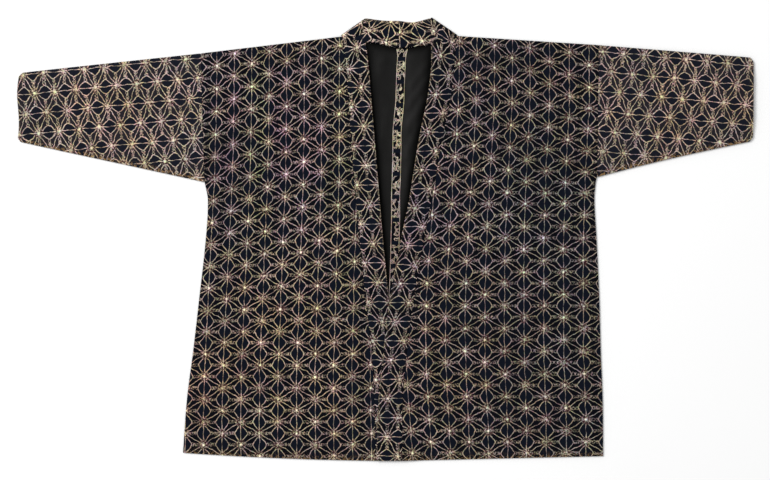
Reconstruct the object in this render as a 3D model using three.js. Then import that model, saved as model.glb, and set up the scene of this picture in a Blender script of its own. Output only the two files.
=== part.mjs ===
// A lined jacket in the cut of a short kimono coat, laid flat on its back with its front up.
// Millimetres. X runs towards the wearer's left sleeve, Y towards the collar, Z up from the surface
// that the jacket lies on. "Right" and "left" are the wearer's.

import * as THREE from "three";

// Cloth and the order in which it lies
const CLOTH = 1.5;
const LINING = 1;
const STRIP = 1;
const BAND = 2;
const SEAM = 0.3;
const LINING_UNDER = CLOTH + SEAM;
const STRIP_UNDER = LINING_UNDER + LINING + SEAM;
const EDGE_UNDER = CLOTH + SEAM;
const FRONT_UNDER = STRIP_UNDER + 0.2;
const RIGHT_BAND_LOW = STRIP_UNDER + STRIP + SEAM;
const LEFT_BAND_LOW = RIGHT_BAND_LOW + BAND + SEAM;

// Puffing of the upper cloth over the layers below it
const SWELL = 1.6;
const SWELL_LEAST = 0.05;
const SWELL_MOST = 1.9;
const SWELL_MARGIN = 55;
const EDGE_DROP = 8;
const BAND_MARGIN = 60;

// Sleeves
const SLEEVE_ROLL = 2.4;
const CUFF_CORNER = 5;
const CUFF_CORNER_SHARE = 0.06;
const CUFF_CORNER_STRETCH = 6;

// Lining and strip
const LINING_INSET = 12;
const LINING_HEM = 14;
const LINING_NECK = 1.5;
const STRIP_WIDTH = 17;
const STRIP_TOP_WIDTH = 21;
const STRIP_FLARE = 330;
const STRIP_NECK = 2.4;
const STRIP_HEM = 15;

// Neckband: where its halves meet behind the neck, and the stretch over which its front settles
const BAND_JOIN = 24.4;
const BAND_SETTLE = 90;

// Seams of the body at a height y: armhole and side seam, band seam and free edge of the band on
// each half, and the centre-back seam
const BODY = [
  { y: -401.4, sideR: -367.5, seamR: -18, freeR: 24, back: 6.5, freeL: -16.5, seamL: 30, sideL: 394 },
  { y: -291, sideR: -359.5, seamR: -20, freeR: 21.5, back: 9, freeL: -12.5, seamL: 31.5, sideL: 393 },
  { y: -201, sideR: -348, seamR: -25.5, freeR: 16.5, back: 10.5, freeL: -3.5, seamL: 39, sideL: 389.5 },
  { y: -110, sideR: -337.5, seamR: -36, freeR: 6.5, back: 13.5, freeL: 7.5, seamL: 50.5, sideL: 387 },
  { y: -2, sideR: -325.5, seamR: -47, freeR: -4.5, back: 17.5, freeL: 27.5, seamL: 69.5, sideL: 382 },
  { y: 71, sideR: -321.5, seamR: -53.5, freeR: -10.5, back: 18.5, freeL: 42.5, seamL: 83, sideL: 378 },
  { y: 103, sideR: -327.3, seamR: -57, freeR: -13.3, back: 19.2, freeL: 47.8, seamL: 89.3, sideL: 380.5 },
  { y: 112, sideR: -327.4, seamR: -57.6, freeR: -14, back: 19.4, freeL: 49.2, seamL: 90.8, sideL: 382.6 },
  { y: 143, sideR: -328, seamR: -60, freeR: -16.5, back: 20, freeL: 54, seamL: 96, sideL: 384.5 },
  { y: 197, sideR: -329, seamR: -63.5, freeR: -21, back: 21.5, freeL: 63.5, seamL: 106, sideL: 386 },
  { y: 252, sideR: -331.5, seamR: -67, freeR: -25.5, back: 26, freeL: 75, seamL: 117, sideL: 386 },
  { y: 306, sideR: -333, seamR: -71.5, freeR: -30, back: 28, freeL: 82, seamL: 124, sideL: 386 },
  { y: 360, sideR: -334, seamR: -78, freeR: -36.5, back: 30, freeL: 82.5, seamL: 128, sideL: 385.5 },
  { y: 400, sideR: -334, seamR: -83, freeR: -44, back: 24, freeL: 82, seamL: 133, sideL: 385.5 },
];

// Neckband behind the neck at a place x: its seam to the back and its free edge
const NECK = [
  { x: -81, seam: 367, free: 402 },
  { x: -57, seam: 360.5, free: 401 },
  { x: -35, seam: 356.5, free: 399.5 },
  { x: -3, seam: 351.5, free: 395.5 },
  { x: 24, seam: 346.5, free: 395 },
  { x: 50, seam: 348, free: 392.5 },
  { x: 82, seam: 352.5, free: 399.7 },
  { x: 106, seam: 359.5, free: 402 },
  { x: 131, seam: 368, free: 404 },
];

// Each half of the jacket: table columns, corners [x, y] of shoulder, armhole, cuff and hem, how far
// the hem and the sleeve's underside bow, and where the band turns over the shoulder
const HALVES = {
  right: {
    side: "sideR",
    seam: "seamR",
    free: "freeR",
    outward: -1,
    neck: [-79.5, 366.5],
    shoulder: [-334, 336],
    underarm: [-327.3, 103],
    hemSide: [-367.5, -387],
    hemSeam: [-18, -401.4],
    hemBow: -2.5,
    cuffTop: [-662.4, 301],
    cuffBottom: [-666.4, 176],
    undersideBow: 0.5,
    cuffWave: 2.5,
    turnBack: [-34, 399.5],
    turnFront: [-43, 391],
    bandLow: RIGHT_BAND_LOW,
    bandFalls: [-80, 0],
  },
  left: {
    side: "sideL",
    seam: "seamL",
    free: "freeL",
    outward: 1,
    neck: [128.5, 367.5],
    shoulder: [385.5, 351],
    underarm: [382.6, 112],
    hemSide: [394, -393],
    hemSeam: [30, -401.4],
    hemBow: 0,
    cuffTop: [666, 328.5],
    cuffBottom: [665, 176.5],
    undersideBow: 3,
    cuffWave: 0,
    turnBack: [82, 399.7],
    turnFront: [82, 398.5],
    bandLow: LEFT_BAND_LOW,
    bandFalls: [-95, 40],
  },
};

// Largest creases of the front and sleeves: a soft line from (x, y) to (toX, toY). A rise below
// zero is a trough and above zero a ridge, as a share of the swell.
const CREASES = [
  { x: -356, y: 268, toX: -272, toY: 333, width: 16, rise: -0.8 },
  { x: -318, y: 116, toX: -245, toY: 197, width: 15, rise: -0.8 },
  { x: -296, y: 160, toX: -230, toY: 232, width: 18, rise: 0.6 },
  { x: -300, y: 318, toX: -303, toY: 215, width: 12, rise: -0.6 },
  { x: -292, y: -36, toX: -262, toY: 62, width: 16, rise: -0.8 },
  { x: -262, y: -70, toX: -225, toY: 40, width: 22, rise: 0.5 },
  { x: -184, y: 66, toX: -163, toY: 146, width: 15, rise: -0.6 },
  { x: -120, y: 30, toX: -98, toY: 66, width: 16, rise: -0.5 },
  { x: -322, y: -330, toX: -290, toY: -362, width: 26, rise: -0.6 },
  { x: -190, y: -250, toX: -120, toY: -150, width: 34, rise: 0.4 },
  { x: 128, y: 306, toX: 330, toY: 315, width: 18, rise: -0.7 },
  { x: 99, y: 206, toX: 226, toY: 212, width: 15, rise: -0.6 },
  { x: 110, y: 168, toX: 240, toY: 170, width: 16, rise: 0.5 },
  { x: 99, y: 126, toX: 262, toY: 124, width: 15, rise: -0.6 },
  { x: 252, y: 38, toX: 352, toY: 116, width: 15, rise: -0.9 },
  { x: 252, y: 38, toX: 326, toY: -4, width: 14, rise: -0.8 },
  { x: 275, y: -60, toX: 310, toY: -92, width: 28, rise: 0.8 },
  { x: 48, y: -150, toX: 243, toY: -192, width: 20, rise: -0.6 },
  { x: 300, y: -222, toX: 332, toY: -236, width: 24, rise: -0.6 },
  { x: 214, y: -338, toX: 256, toY: -352, width: 24, rise: -0.5 },
  { x: -470, y: 190, toX: -380, toY: 246, width: 18, rise: -0.6 },
  { x: -600, y: 196, toX: -560, toY: 268, width: 20, rise: -0.5 },
  { x: -520, y: 232, toX: -470, toY: 292, width: 20, rise: 0.5 },
  { x: 420, y: 176, toX: 500, toY: 240, width: 18, rise: -0.6 },
  { x: 560, y: 212, toX: 600, toY: 282, width: 20, rise: -0.5 },
  { x: 470, y: 246, toX: 540, toY: 296, width: 22, rise: 0.5 },
];

// How finely the pieces are divided
const FRONT_ACROSS = 19;
const FRONT_BELOW_ARM = 15;
const FRONT_ABOVE_ARM = 8;
const BACK_COLUMNS = 4;
const BACK_BELOW_ARM = 9;
const BACK_ABOVE_ARM = 4;
const STRIP_ROWS = 14;
const SLEEVE_SECTIONS = 13;
const SLEEVE_OVER = 13;
const SLEEVE_BENEATH = 5;
const ROLL_STEPS = 4;
const NECK_STEPS = 16;
const BAND_ACROSS = 4;
const TURN_STEPS = 6;

const blend = (a, b, t) => a + (b - a) * t;
const between = (from, to, t) => [blend(from[0], to[0], t), blend(from[1], to[1], t)];
const smooth = (t) => {
  const held = Math.min(1, Math.max(0, t));
  return held * held * (3 - 2 * held);
};
const steps = (count) => Array.from({ length: count + 1 }, (_, i) => i / count);

// A column of a table at a place between its rows, as a curve through them
function read(table, key, place, column) {
  const last = table.length - 1;
  const next = Math.min(Math.max(table.findIndex((row) => row[key] > place), 1), last);
  const row = (i) => table[Math.min(Math.max(i, 0), last)];
  const [low, high] = [row(next - 1), row(next)];
  const slope = (i) => {
    const run = row(i + 1)[key] - row(i - 1)[key];
    return (row(i + 1)[column] - row(i - 1)[column]) / run;
  };
  const span = high[key] - low[key];
  const t = Math.min(1, Math.max(0, (place - low[key]) / span));
  const [t2, t3] = [t * t, t * t * t];
  return (
    low[column] * (2 * t3 - 3 * t2 + 1) +
    slope(next - 1) * span * (t3 - 2 * t2 + t) +
    high[column] * (3 * t2 - 2 * t3) +
    slope(next) * span * (t3 - t2)
  );
}

const bodyAt = (y, column) => read(BODY, "y", y, column);
const neckAt = (x, column) => read(NECK, "x", x, column);
const lineY = (from, to, x) => blend(from[1], to[1], (x - from[0]) / (to[0] - from[0]));
const lineX = (from, to, y) => blend(from[0], to[0], (y - from[1]) / (to[1] - from[1]));
const sideAt = (half, y) =>
  y > half.underarm[1] ? lineX(half.underarm, half.shoulder, y) : bodyAt(y, half.side);
const middleX = bodyAt(neckAt(BAND_JOIN, "seam"), "back");

// Knots of the neckline, which the back and the band share, and the line through them
const neckKnots = steps(NECK_STEPS).map((t) => blend(HALVES.right.neck[0], HALVES.left.neck[0], t));

function neckLine(x) {
  const next = Math.min(Math.max(neckKnots.findIndex((knot) => knot > x), 1), NECK_STEPS);
  const [low, high] = [neckKnots[next - 1], neckKnots[next]];
  return lineY([low, neckAt(low, "seam")], [high, neckAt(high, "seam")], x);
}

const knotsBetween = (from, to) => {
  const inner = neckKnots.filter((x) => x > Math.min(from, to) + 1 && x < Math.max(from, to) - 1);
  return [from, ...(from < to ? inner : inner.reverse()), to];
};
const hemBowAt = (t, bow) => 4 * t * (1 - t) * bow;

// How far inside the outline of the laid jacket a place is, on its own half
function inside(half, x, y) {
  const reach = (x - half.shoulder[0]) * half.outward;
  const top = reach > 0 ? lineY(half.shoulder, half.cuffTop, x) : lineY(half.shoulder, half.neck, x);
  const [armX, armY] = half.underarm;
  const onSleeve = reach > 0 && y > armY;
  const below = onSleeve ? y - lineY(half.underarm, half.cuffBottom, x) : Infinity;
  const beside =
    y < armY ? (sideAt(half, y) - x) * half.outward : Math.hypot(x - armX, y - armY);
  const hem = y - lineY(half.hemSide, half.hemSeam, x);
  return Math.max(0, Math.min(top - y, below, beside, hem));
}

// Distance from a place to a crease, which is a straight stretch
function distanceTo(crease, x, y) {
  const run = [crease.toX - crease.x, crease.toY - crease.y];
  const along = ((x - crease.x) * run[0] + (y - crease.y) * run[1]) / (run[0] ** 2 + run[1] ** 2);
  const t = Math.min(1, Math.max(0, along));
  return Math.hypot(x - crease.x - run[0] * t, y - crease.y - run[1] * t);
}

// How far the upper cloth stands above its lowest lie
function swell(half, x, y) {
  const rises = CREASES.map((crease) => {
    const off = distanceTo(crease, x, y) / crease.width;
    return crease.rise * Math.exp(-off * off);
  });
  const share = 1 + rises.reduce((sum, rise) => sum + rise, 0);
  const held = Math.min(SWELL_MOST, Math.max(SWELL_LEAST, share));
  return SWELL * held * smooth(inside(half, x, y) / SWELL_MARGIN);
}

// Underside of the band on the front, which climbs over what it crosses lower down
function bandUnder(half, y) {
  const [low, high] = half.bandFalls;
  return blend(half.bandLow, FRONT_UNDER, smooth((y - low) / (high - low)));
}

// Turns a solid's faces outwards and gives it normals
function finished(points, faces) {
  const volume = faces.reduce((sum, [a, b, c]) => {
    return sum + points[a].dot(new THREE.Vector3().crossVectors(points[b], points[c]));
  }, 0);
  const turned = volume < 0 ? faces.map(([a, b, c]) => [a, c, b]) : faces;
  const geometry = new THREE.BufferGeometry().setFromPoints(points);
  geometry.setIndex(turned.flat());
  geometry.computeVertexNormals();
  return geometry;
}

const quad = (a, b, c, d) => [
  [a, b, c],
  [a, c, d],
];

// A cloth wall through sections, each a row of points over it and the matching row under it
function wall(sections) {
  const across = sections[0].over.length;
  const points = sections.flatMap(({ over, under }) => [...over, ...under]);
  const over = (i, j) => i * 2 * across + j;
  const under = (i, j) => over(i, j) + across;
  const faces = [];
  for (let i = 0; i + 1 < sections.length; i += 1) {
    for (let j = 0; j + 1 < across; j += 1) {
      faces.push(...quad(over(i, j), over(i, j + 1), over(i + 1, j + 1), over(i + 1, j)));
      faces.push(...quad(under(i, j), under(i + 1, j), under(i + 1, j + 1), under(i, j + 1)));
    }
    const end = across - 1;
    faces.push(...quad(over(i, 0), over(i + 1, 0), under(i + 1, 0), under(i, 0)));
    faces.push(...quad(over(i, end), under(i, end), under(i + 1, end), over(i + 1, end)));
  }
  const last = sections.length - 1;
  for (let j = 0; j + 1 < across; j += 1) {
    faces.push(...quad(over(0, j), under(0, j), under(0, j + 1), over(0, j + 1)));
    faces.push(...quad(over(last, j), over(last, j + 1), under(last, j + 1), under(last, j)));
  }
  return finished(points, faces);
}

// A cloth tube through sections, each a closed ring of points outside it and one inside it
function tube(sections) {
  const around = sections[0].outer.length;
  const points = sections.flatMap(({ outer, inner }) => [...outer, ...inner]);
  const outer = (i, j) => i * 2 * around + (j % around);
  const inner = (i, j) => outer(i, j) + around;
  const faces = [];
  const last = sections.length - 1;
  for (let j = 0; j < around; j += 1) {
    for (let i = 0; i < last; i += 1) {
      faces.push(...quad(outer(i, j), outer(i, j + 1), outer(i + 1, j + 1), outer(i + 1, j)));
      faces.push(...quad(inner(i, j), inner(i + 1, j), inner(i + 1, j + 1), inner(i, j + 1)));
    }
    faces.push(...quad(outer(0, j), inner(0, j), inner(0, j + 1), outer(0, j + 1)));
    faces.push(...quad(outer(last, j), outer(last, j + 1), inner(last, j + 1), inner(last, j)));
  }
  return finished(points, faces);
}

const level = (places, height) => places.map(([x, y]) => new THREE.Vector3(x, y, height));

// Rows of a front from the hem to the shoulder, as shares of its height, with one at the underarm
function frontRows(half) {
  const rise = half.shoulder[1] - half.hemSide[1];
  const arm = (half.underarm[1] - half.hemSide[1]) / rise;
  const edge = EDGE_DROP / rise;
  return [
    0,
    edge,
    ...steps(FRONT_BELOW_ARM).slice(1).map((t) => arm * t),
    ...steps(FRONT_ABOVE_ARM).slice(1, -1).map((t) => blend(arm, 1, t)),
    1 - edge,
    1,
  ];
}

// Front: each row runs from the side to the band seam
function frontPanel(half) {
  const width = Math.abs(half.hemSide[0] - half.hemSeam[0]);
  const columns = [0, EDGE_DROP / width, ...steps(FRONT_ACROSS).slice(1)];
  const sections = frontRows(half).map((row) => {
    const sideY = blend(half.hemSide[1], half.shoulder[1], row);
    const seamY = blend(half.hemSeam[1], half.neck[1], row);
    const side = [sideAt(half, sideY), sideY];
    const seam = [bodyAt(seamY, half.seam) + (half.outward * SEAM) / 2, seamY];
    const places = columns.map((column) => {
      const [x, y] = between(side, seam, column);
      return [x, y + (1 - row) * hemBowAt(column, half.hemBow)];
    });
    const heights = places.map(([x, y]) => {
      const fromSeam = smooth(Math.abs(x - bodyAt(y, half.seam)) / BAND_MARGIN);
      const lie = blend(EDGE_UNDER, FRONT_UNDER, smooth(inside(half, x, y) / EDGE_DROP));
      return blend(bandUnder(half, y), lie + swell(half, x, y), fromSeam);
    });
    const under = places.map(([x, y], i) => new THREE.Vector3(x, y, heights[i]));
    const over = places.map(([x, y], i) => new THREE.Vector3(x, y, heights[i] + CLOTH));
    return { over, under };
  });
  return wall(sections);
}

// Points of a back piece along one row, moved in from the side and shoulder, the hem and the neck
function backPlaces(half, [inset, hemInset, neckInset], row) {
  const sideY = blend(half.hemSide[1] + hemInset, half.shoulder[1] - inset, row);
  const side = [sideAt(half, sideY) - half.outward * inset, sideY];
  const top = [middleX, neckLine(middleX) - neckInset];
  const middleY = blend(half.hemSeam[1] + hemInset, top[1], row);
  const middle = [bodyAt(middleY, "back") + (half.outward * SEAM) / 2, middleY];
  return backColumns(half).map((column) => {
    const [x, y] = between(side, middle, column);
    const shoulderY = lineY(half.shoulder, half.neck, x) - inset;
    const beyond = (x - half.neck[0]) * half.outward > 0;
    const edge = beyond ? shoulderY : Math.min(shoulderY, neckLine(x) - neckInset);
    const straight = lineY([side[0], half.shoulder[1] - inset], top, x);
    return [x, y + row * (edge - straight) + (1 - row) * hemBowAt(column, half.hemBow)];
  });
}

// Columns of a back piece, as shares of its width, with one at each knot of the neckline
function backColumns(half) {
  const from = half.shoulder[0];
  const to = middleX + (half.outward * SEAM) / 2;
  const corner = (half.neck[0] - from) / (to - from);
  const shoulder = steps(BACK_COLUMNS).map((t) => t * corner);
  const neck = knotsBetween(half.neck[0], to).slice(1);
  return [...shoulder, ...neck.map((x) => (x - from) / (to - from))];
}

// Rows of the back from the hem up, as shares of its height, with one at the underarm
function backRows({ underarm, hemSide, shoulder }) {
  const arm = (underarm[1] - hemSide[1]) / (shoulder[1] - hemSide[1]);
  return [
    ...steps(BACK_BELOW_ARM).map((t) => arm * t),
    ...steps(BACK_ABOVE_ARM).slice(1).map((t) => blend(arm, 1, t)),
  ];
}

function backPanel(half) {
  const sections = backRows(half).map((row) => {
    const places = backPlaces(half, [0, 0, SEAM], row);
    return { over: level(places, CLOTH), under: level(places, 0) };
  });
  return wall(sections);
}

// Lining of the back, in one piece from armhole to armhole
function backLining() {
  const sections = backRows(HALVES.right).map((row) => {
    const [right, left] = [HALVES.right, HALVES.left].map((half) =>
      backPlaces(half, [LINING_INSET, LINING_HEM, LINING_NECK], row),
    );
    const places = [...right.slice(0, -1), ...left.slice(0, -1).reverse()];
    return { over: level(places, LINING_UNDER + LINING), under: level(places, LINING_UNDER) };
  });
  return wall(sections);
}

// Strip over the centre-back seam of the lining, from the neck to the hem
function centreBackStrip() {
  const top = neckLine(middleX) - STRIP_NECK;
  const bottom = HALVES.right.hemSeam[1] + STRIP_HEM;
  const sections = steps(STRIP_ROWS).map((row) => {
    const y = blend(bottom, top, row);
    const flare = smooth((y - STRIP_FLARE) / (top - STRIP_FLARE));
    const reach = blend(STRIP_WIDTH, STRIP_TOP_WIDTH, flare) / 2;
    const places = [-1, 0, 1].map((side) => [bodyAt(y, "back") + side * reach, y]);
    return { over: level(places, STRIP_UNDER + STRIP), under: level(places, STRIP_UNDER) };
  });
  return wall(sections);
}

// A stretch across the band: its two edges, the height of its middle and the way its outer face looks
const bandLine = (seam, free, height, facing) => ({ seam, free, height, facing });

// Back half of the band, from the centre back to the shoulder, with its outer face down
function bandBehind(half) {
  const start = BAND_JOIN + (half.outward * SEAM) / 2;
  const end = half.neck[0] - half.outward * SEAM;
  return knotsBetween(start, end).map((seamX) => {
    const freeX = blend(start, half.turnBack[0], (seamX - start) / (end - start));
    const seam = [seamX, neckLine(seamX)];
    return bandLine(seam, [freeX, neckAt(freeX, "free")], BAND / 2, [0, 0, -1]);
  });
}

// The band rolls over at the shoulder, round the line from the neck point to its free corner
function bandTurn(half) {
  const seam = [half.neck[0] - half.outward * SEAM, half.neck[1]];
  const low = BAND / 2;
  const roll = bandUnder(half, half.neck[1]) / 2;
  const fold = [half.turnBack[0] - seam[0], half.turnBack[1] - seam[1]];
  const length = Math.hypot(...fold);
  const out = [(half.outward * fold[1]) / length, (-half.outward * fold[0]) / length];
  return steps(TURN_STEPS).slice(1, -1).map((t) => {
    const angle = Math.PI * t;
    const lean = roll * Math.sin(angle);
    const moved = ([x, y]) => [x + out[0] * lean, y + out[1] * lean];
    const free = between(half.turnBack, half.turnFront, smooth(t));
    const facing = [out[0] * Math.sin(angle), out[1] * Math.sin(angle), -Math.cos(angle)];
    return bandLine(moved(seam), moved(free), low + roll * (1 - Math.cos(angle)), facing);
  });
}

// Front half of the band, from the shoulder to the hem, with its outer face up
function bandBefore(half) {
  const [, neckY] = half.neck;
  return frontRows(half).reverse().map((row) => {
    const seamY = blend(half.hemSeam[1], neckY, row);
    const settled = smooth((neckY - seamY) / BAND_SETTLE);
    const freeY = seamY + (half.turnFront[1] - neckY) * (1 - settled);
    const seam = [bodyAt(seamY, half.seam) - (half.outward * SEAM) / 2, seamY];
    const free = [row === 1 ? half.turnFront[0] : bodyAt(freeY, half.free), freeY];
    return bandLine(seam, free, bandUnder(half, seamY) + BAND / 2, [0, 0, 1]);
  });
}

function neckband(half) {
  const lines = [...bandBehind(half), ...bandTurn(half), ...bandBefore(half)];
  const sections = lines.map(({ seam, free, height, facing }) => {
    const outward = new THREE.Vector3(...facing).multiplyScalar(BAND / 2);
    const middle = steps(BAND_ACROSS).map((t) => new THREE.Vector3(...between(seam, free, t), height));
    const over = middle.map((point) => point.clone().add(outward));
    const under = middle.map((point) => point.clone().sub(outward));
    return { over, under };
  });
  return wall(sections);
}

// A place on the flattened sleeve: along from the armhole to the cuff, across from its underside
// to its top edge
function sleevePlace(half, along, across) {
  const armGap = half.outward * SEAM;
  const top = between([half.shoulder[0] + armGap, half.shoulder[1]], half.cuffTop, along);
  const low = between([half.underarm[0] + armGap, half.underarm[1]], half.cuffBottom, along);
  low[1] += hemBowAt(along, half.undersideBow);
  const [x, y] = between(low, top, across);
  const wave = half.cuffWave * Math.sin(2 * Math.PI * across) * along;
  const toCorner = Math.min(across, 1 - across) / CUFF_CORNER_SHARE;
  const corner = CUFF_CORNER * (1 - smooth(toCorner)) * along ** CUFF_CORNER_STRETCH;
  return [x - half.outward * (wave + corner), y];
}

// Ring of the flattened tube: round its underside, over it, round its top edge and back beneath
function sleeveRing(half, along, depth) {
  const [low, top] = [0, 1].map((across) => sleevePlace(half, along, across));
  const width = Math.hypot(top[0] - low[0], top[1] - low[1]);
  const roll = SLEEVE_ROLL - depth;
  const [near, far] = [SLEEVE_ROLL / width, 1 - SLEEVE_ROLL / width];
  const point = (across, height) => {
    const [x, y] = sleevePlace(half, along, across);
    const lift = height > SLEEVE_ROLL ? swell(half, x, y) : 0;
    return new THREE.Vector3(x, y, height + lift);
  };
  const rolled = (centre, side) =>
    steps(ROLL_STEPS).map((t) => {
      const angle = Math.PI * t;
      const across = centre + (side * roll * Math.sin(angle)) / width;
      return point(across, SLEEVE_ROLL + side * roll * Math.cos(angle));
    });
  const over = steps(SLEEVE_OVER).slice(1, -1);
  const beneath = steps(SLEEVE_BENEATH).slice(1, -1);
  return [
    ...rolled(near, -1),
    ...over.map((t) => point(blend(near, far, t), SLEEVE_ROLL + roll)),
    ...rolled(far, 1),
    ...beneath.map((t) => point(blend(far, near, t), SLEEVE_ROLL - roll)),
  ];
}

function sleeve(half) {
  const sections = steps(SLEEVE_SECTIONS).map((along) => ({
    outer: sleeveRing(half, along, 0),
    inner: sleeveRing(half, along, CLOTH),
  }));
  return tube(sections);
}

// Finishes: patterned cotton on a blue-black ground, and plain black lining
const patterned = (colour) =>
  new THREE.MeshStandardMaterial({ color: colour, roughness: 0.85, metalness: 0 });
const lining = new THREE.MeshStandardMaterial({ color: 0x1c1c1d, roughness: 0.8, metalness: 0 });

const jacket = new THREE.Group();

function add(name, geometry, material) {
  const mesh = new THREE.Mesh(geometry, material);
  mesh.name = name;
  jacket.add(mesh);
}

add("back_right_panel", backPanel(HALVES.right), patterned(0x4a4442));
add("back_left_panel", backPanel(HALVES.left), patterned(0x484341));
add("back_lining", backLining(), lining);
add("centre_back_strip", centreBackStrip(), patterned(0x4e4944));
add("front_right_panel", frontPanel(HALVES.right), patterned(0x4d4645));
add("front_left_panel", frontPanel(HALVES.left), patterned(0x3f3a3c));
add("neckband_right", neckband(HALVES.right), patterned(0x55504d));
add("neckband_left", neckband(HALVES.left), patterned(0x4f4a48));
add("sleeve_right", sleeve(HALVES.right), patterned(0x6a605b));
add("sleeve_left", sleeve(HALVES.left), patterned(0x574d48));

export default jacket;
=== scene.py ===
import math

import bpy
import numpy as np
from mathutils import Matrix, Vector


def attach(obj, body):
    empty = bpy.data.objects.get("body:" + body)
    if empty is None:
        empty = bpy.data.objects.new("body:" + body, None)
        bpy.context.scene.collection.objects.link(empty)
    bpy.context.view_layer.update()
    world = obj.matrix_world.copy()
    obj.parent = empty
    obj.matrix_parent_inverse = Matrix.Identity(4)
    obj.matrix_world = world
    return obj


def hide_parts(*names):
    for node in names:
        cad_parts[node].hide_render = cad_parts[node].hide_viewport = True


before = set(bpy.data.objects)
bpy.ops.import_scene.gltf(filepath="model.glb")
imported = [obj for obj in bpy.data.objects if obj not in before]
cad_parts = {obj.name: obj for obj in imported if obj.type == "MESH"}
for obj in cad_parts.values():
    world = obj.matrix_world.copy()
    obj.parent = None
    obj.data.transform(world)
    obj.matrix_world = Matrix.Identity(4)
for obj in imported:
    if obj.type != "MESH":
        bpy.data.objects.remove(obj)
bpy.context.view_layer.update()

# A lined jacket in the cut of a short kimono coat, laid flat on its back with its front up.
# Sizes are in millimetres in the frame of the part: X runs towards the wearer's left sleeve, Y
# towards the collar and Z up from the floor. Meshes turn them into metres as they are made.
# "Right" and "left" are the wearer's.

MM = 0.001
FAR = 1e4

# Order in which the cloth lies, as in the part
CLOTH = 1.5
LINING = 1.0
STRIP = 1.0
BAND = 2.0
SEAM = 0.3
FRONT_CLEAR = 0.2
LINING_UNDER = CLOTH + SEAM
STRIP_UNDER = LINING_UNDER + LINING + SEAM
EDGE_UNDER = CLOTH + SEAM
FRONT_UNDER = STRIP_UNDER + FRONT_CLEAR
RIGHT_BAND_LOW = STRIP_UNDER + STRIP + SEAM
LEFT_BAND_LOW = RIGHT_BAND_LOW + BAND + SEAM

# Thickness of the shells and the roundness of their edges
SHELL = 1.1
UNWORN = 0
EDGE_ROUND = 1.1
EDGE_LEAST = 0.14
BAND_ROUND = 1.7
BAND_CROWN = 0.5

# Puffing of the upper cloth over the layers below it
SWELL = 3.0
SWELL_LEAST = 0.04
SWELL_MOST = 1.9
SWELL_MARGIN = 48
EDGE_DROP = 8
BAND_MARGIN = 42
RIPPLE_MARGIN = 22
PUFF_MARGIN = 9

# Gathers beside a seam
PUCKER_HEIGHT = 0.35
PUCKER_PITCH = 15
PUCKER_REACH = 9
PUCKER_WANDER = 3
PUCKER_WANDER_SIZE = 31
PUCKER_EVEN = 0.6
PUCKER_SPOT = 24
PUCKER_MARGIN = 4
ARMHOLE_SEED = 7
BAND_SEED = 21

# Unevenness: how strong it is, how wide its spots are, and the number that sets where they fall.
# The scatter is the multipliers that make the spots fall without order.
SCATTER = (127.1, 311.7, 74.7, 43758.5453)
RIPPLES = ((0.7, 46, 3), (0.3, 19, 5))
DYE_SHADES = ((0.10, 34, 11), (0.08, 80, 12))
DYE_WARMTH = ((0.05, 46, 13),)
LINING_RUFFLE = ((0.3, 21, 31),)
STRIP_SWAY = ((0.5, 40, 41),)
STRIP_PUFF = ((1, 17, 42),)
BAND_WAVES = ((0.35, 34, 51),)
BAND_PUFF = ((0.25, 26, 52),)
BAND_LIFTS = ((0.4, 60, 53),)

# Wear: how far it reaches in from a rubbed edge, and how much less of it the cuffs have than the folds
WEAR_REACH = 3
CUFF_SPARED = 3
FOLD_RUBBED = 2
BAND_SPARED = 2

# Sleeves
SLEEVE_ROLL = 2.4
CUFF_CORNER = 5
CUFF_CORNER_SHARE = 0.06
CUFF_CORNER_STRETCH = 6
CUFF_FACING = 26

# Lining and strip
LINING_INSET = 12
LINING_HEM = 14
LINING_NECK = 0.4
# Painted light on the lining: how far the painted shade beside the bands reaches, its tone in the open, the
# painted highlight on wrinkle crests and the painted sheen beside the strip
PAINTED_SHADE_REACH = 17
LINING_OPEN_TONE = 0.47
PAINTED_CREST_HIGHLIGHT = 0.2
PAINTED_HIGHLIGHT_RISE = 3
PAINTED_SHEEN_WIDTH = 15
PAINTED_SHEEN_SHIFT = 6
PAINTED_SHEEN_STRENGTH = 0.7
STRIP_WIDTH = 17
STRIP_TOP_WIDTH = 21
STRIP_FLARE = 330
STRIP_NECK = 2.4
STRIP_HEM = 15
STRIP_PUFF_HEIGHT = 0.35
STRIP_PROBE = 20

# Neckband: where its halves meet behind the neck, and the stretch over which its front settles
BAND_JOIN = 24.4
BAND_SETTLE = 90
BAND_LIFT = 7
BAND_LIFT_GAP = 24
NECK_BULK = 5
NECK_BULK_SHARE = 0.3
HEM_SINK = 2.2
HEM_SINK_REACH = 18

# How finely the pieces are divided
EDGE_STEPS = (0, 0.2, 0.55, 1.1, 2.1, 3.8)
FRONT_CELL = 4.2
SLEEVE_CELL = 4.2
SLEEVE_UNDER_CELL = 8.4
BACK_CELL = 9
LINING_CELL = 4.5
LINING_ACROSS_CELL = 6.75
STRIP_CELL = 4
STRIP_ACROSS_CELL = 1.8
BAND_CELL = 4
BAND_ACROSS_CELL = 3
ROLL_STEPS = 8
TURN_STEPS = 18

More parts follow.
